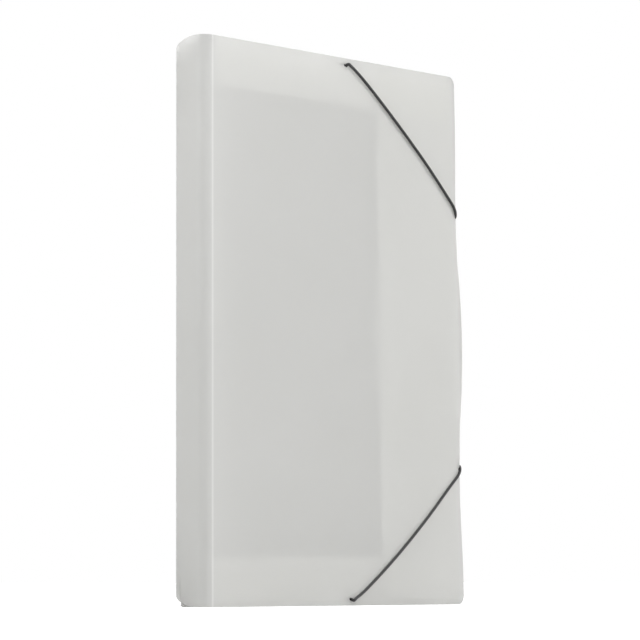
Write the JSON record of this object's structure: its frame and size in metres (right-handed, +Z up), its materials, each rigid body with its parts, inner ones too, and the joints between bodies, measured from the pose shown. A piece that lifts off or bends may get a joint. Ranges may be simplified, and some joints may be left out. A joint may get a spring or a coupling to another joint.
{
  "type": "document box",
  "caption": "Folded three-flap box file of frosted translucent sheet with a rounded spine and an elastic cord across each outer corner of the front cover.",
  "frame": {"origin": "middle of the base, on the surface that the box stands on", "axes": "+Z up along the spine, +X from the spine to the fore edge, -Y out of the front cover"},
  "size_m": [0.258, 0.0319, 0.33],
  "materials": {
    "frosted_sheet": "frosted translucent polypropylene sheet with a fine matt grain",
    "elastic_cord": "round black braided elastic",
    "end_bar": "moulded black plastic"
  },
  "bodies": {
    "root": {"back_cover": "frosted_sheet", "back_bend": "frosted_sheet", "fore_back_crease": "frosted_sheet", "top_back_crease": "frosted_sheet", "bottom_back_crease": "frosted_sheet"},
    "spine": {"spine": "frosted_sheet", "front_crease": "frosted_sheet"},
    "front_cover": {"front_cover": "frosted_sheet", "upper_cord": "elastic_cord", "lower_cord": "elastic_cord", "upper_cord_inner_bar": "end_bar", "upper_cord_edge_bar": "end_bar", "lower_cord_inner_bar": "end_bar", "lower_cord_edge_bar": "end_bar"},
    "fore_wall": {"fore_wall": "frosted_sheet", "fore_lip_crease": "frosted_sheet"},
    "fore_lip": {"fore_lip": "frosted_sheet"},
    "top_wall": {"top_wall": "frosted_sheet", "top_lip_crease": "frosted_sheet"},
    "top_lip": {"top_lip": "frosted_sheet"},
    "bottom_wall": {"bottom_wall": "frosted_sheet", "bottom_lip_crease": "frosted_sheet"},
    "bottom_lip": {"bottom_lip": "frosted_sheet"}
  },
  "joints": [
    {"name": "spine_swing", "type": "hinge", "parent": "root", "child": "spine", "pos_m": [-0.1219, 0.01344, 0], "axis": [0, 0, -1], "range_deg": [0, 70], "deforming": ["back_bend"]},
    {"name": "cover_swing", "type": "hinge", "parent": "spine", "child": "front_cover", "pos_m": [-0.12162, -0.015, 0], "axis": [0, 0, -1], "range_deg": [0, 180], "deforming": ["front_crease"]},
    {"name": "fore_wall_fold", "type": "hinge", "parent": "root", "child": "fore_wall", "pos_m": [0.12588, 0.015, 0], "axis": [0, 0, 1], "range_deg": [0, 90], "deforming": ["fore_back_crease"]},
    {"name": "fore_lip_fold", "type": "hinge", "parent": "fore_wall", "child": "fore_lip", "pos_m": [0.12588, -0.0139, 0], "axis": [0, 0, 1], "range_deg": [0, 90], "deforming": ["fore_lip_crease"]},
    {"name": "top_wall_fold", "type": "hinge", "parent": "root", "child": "top_wall", "pos_m": [0, 0.015, 0.33], "axis": [-1, 0, 0], "range_deg": [0, 90], "deforming": ["top_back_crease"]},
    {"name": "top_lip_fold", "type": "hinge", "parent": "top_wall", "child": "top_lip", "pos_m": [0, -0.0128, 0.33], "axis": [-1, 0, 0], "range_deg": [0, 90], "deforming": ["top_lip_crease"]},
    {"name": "bottom_wall_fold", "type": "hinge", "parent": "root", "child": "bottom_wall", "pos_m": [0, 0.015, 0], "axis": [1, 0, 0], "range_deg": [0, 90], "deforming": ["bottom_back_crease"]},
    {"name": "bottom_lip_fold", "type": "hinge", "parent": "bottom_wall", "child": "bottom_lip", "pos_m": [0, -0.0128, 0], "axis": [1, 0, 0], "range_deg": [0, 90], "deforming": ["bottom_lip_crease"]}
  ],
  "couplings": [
    {"joint": "fore_wall_fold", "follows": "cover_swing", "ratio": 0.5},
    {"joint": "fore_lip_fold", "follows": "cover_swing", "ratio": 0.5},
    {"joint": "top_wall_fold", "follows": "cover_swing", "ratio": 0.15},
    {"joint": "top_lip_fold", "follows": "cover_swing", "ratio": 0.05},
    {"joint": "bottom_wall_fold", "follows": "cover_swing", "ratio": 0.15},
    {"joint": "bottom_lip_fold", "follows": "cover_swing", "ratio": 0.05}
  ]
}
